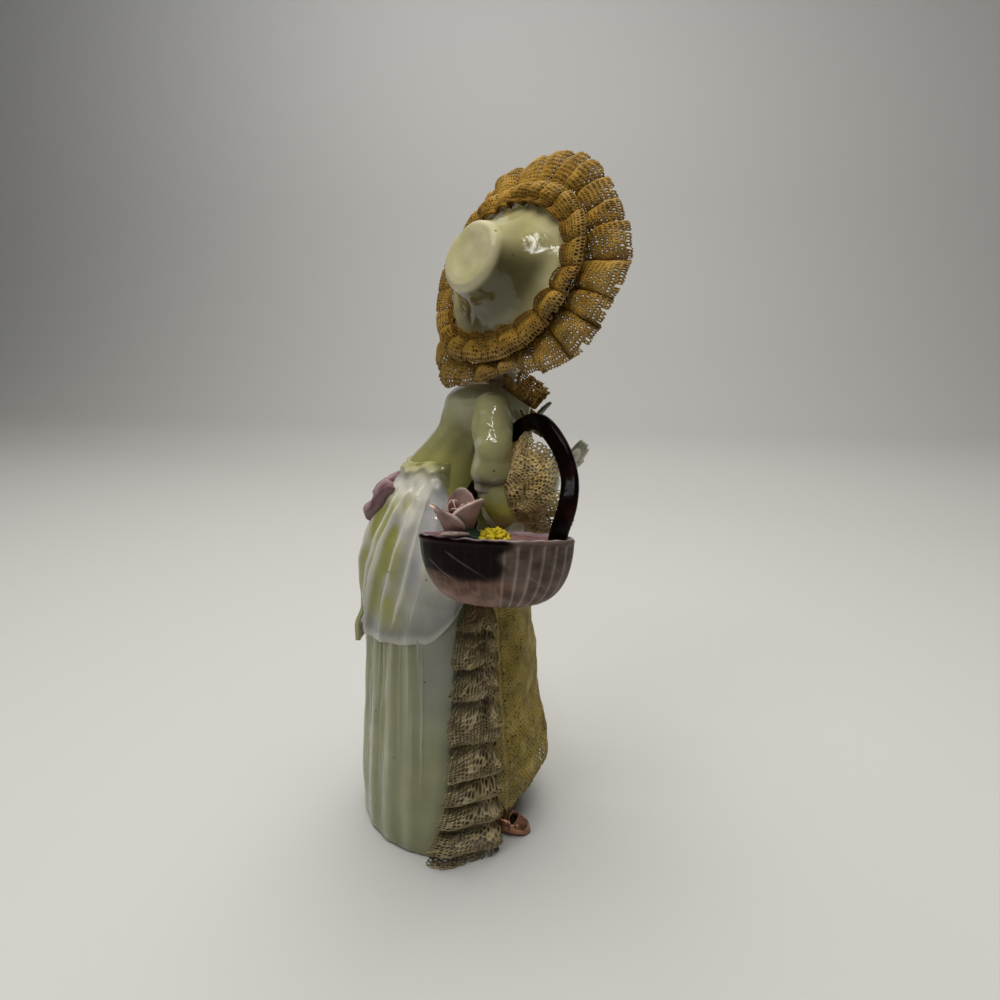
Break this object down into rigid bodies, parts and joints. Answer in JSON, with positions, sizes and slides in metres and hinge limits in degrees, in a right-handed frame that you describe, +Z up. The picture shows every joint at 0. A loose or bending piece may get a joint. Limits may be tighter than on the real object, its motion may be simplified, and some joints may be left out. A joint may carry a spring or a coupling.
{
  "type": "dresden lace figurine",
  "caption": "Glazed porcelain lady figurine with a lace-edged hat, a lace-fronted skirt and a flower basket hung on one forearm, standing on the flat underside of the skirt.",
  "frame": {"origin": "middle of the flat underside of the skirt", "axes": "+Z up, the lady faces -Y, her right arm with the basket is on -X"},
  "size_m": [0.0808, 0.0789, 0.1903],
  "materials": {
    "glazed_porcelain": "gloss",
    "ochre_lace": "satin",
    "beige_lace": "satin",
    "olive_net": "satin",
    "brown_lace": "satin",
    "basket_glaze": "gloss",
    "black_glaze": "gloss",
    "rose_porcelain": "satin",
    "yellow_porcelain": "satin",
    "green_porcelain": "satin",
    "grey_green_porcelain": "satin"
  },
  "bodies": {
    "root": {"figure": "glazed_porcelain", "hat_lace_outer": "ochre_lace", "hat_lace_inner": "ochre_lace", "skirt_lace_right": "beige_lace", "skirt_lace_left": "beige_lace", "net_underskirt": "olive_net", "sleeve_frill_right": "beige_lace", "sleeve_frill_left": "beige_lace", "collar_lace": "brown_lace", "basket": "basket_glaze", "basket_handle": "black_glaze", "basket_rose": "rose_porcelain", "basket_flower": "yellow_porcelain", "basket_leaf": "green_porcelain", "breast_leaf": "grey_green_porcelain"}
  },
  "joints": []
}
